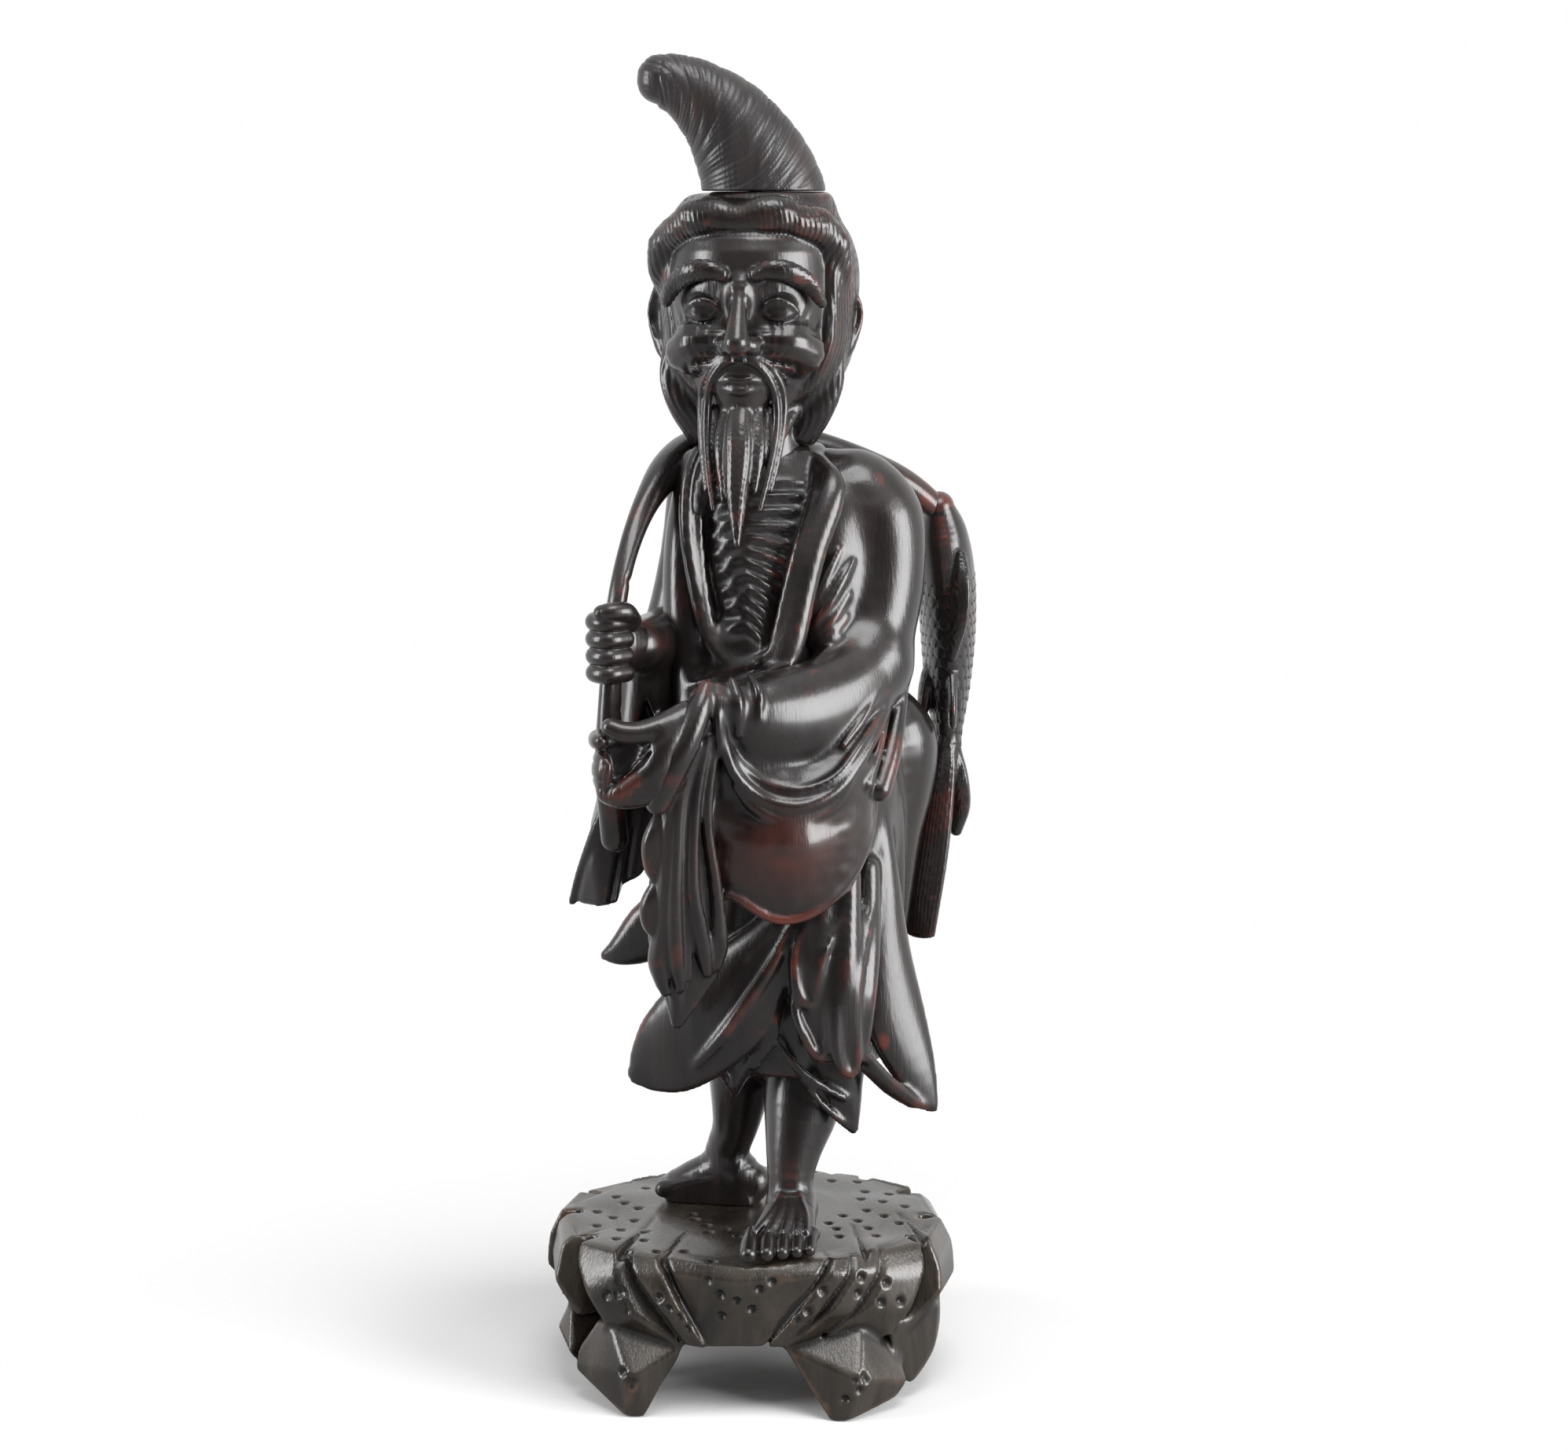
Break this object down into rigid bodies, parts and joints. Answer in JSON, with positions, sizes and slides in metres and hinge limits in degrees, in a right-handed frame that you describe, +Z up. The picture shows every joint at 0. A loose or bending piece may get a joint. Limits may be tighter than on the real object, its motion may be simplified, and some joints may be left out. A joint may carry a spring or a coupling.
{
  "type": "carved wooden fisherman figure",
  "caption": "Dark polished hardwood fisherman in a draped robe with a tall topknot, a pole over the shoulders and a carp behind, doweled onto an arched rockwork stand.",
  "frame": {"origin": "on the ground under the middle of the carving's box", "axes": "+Z up, -Y the way the figure faces, +X towards the figure's own left side, where the fish hangs"},
  "size_m": [0.2028, 0.1816, 0.6108],
  "materials": {
    "polished_wood": "dark stained and lacquered hardwood, rubbed to a soft polish, redder where worn",
    "stand_wood": "dark stained hardwood, tool marked, duller than the figure",
    "dowel_wood": "plain turned dowel, unfinished"
  },
  "bodies": {
    "root": {"rock_stand": "stand_wood", "robed_body": "polished_wood", "left_arm_sleeve": "polished_wood", "left_hand": "polished_wood", "right_arm_sleeve": "polished_wood", "right_fist": "polished_wood", "shoulder_pole": "polished_wood", "carp": "polished_wood", "head": "polished_wood", "topknot": "polished_wood", "topknot_dowel": "dowel_wood", "left_wrist_dowel": "dowel_wood", "right_wrist_dowel": "dowel_wood", "left_shoulder_upper_dowel": "dowel_wood", "left_shoulder_lower_dowel": "dowel_wood", "right_shoulder_upper_dowel": "dowel_wood", "right_shoulder_lower_dowel": "dowel_wood", "left_foot_dowel": "dowel_wood", "right_foot_dowel": "dowel_wood", "pole_dowel": "dowel_wood", "fish_peg": "dowel_wood"}
  },
  "joints": []
}
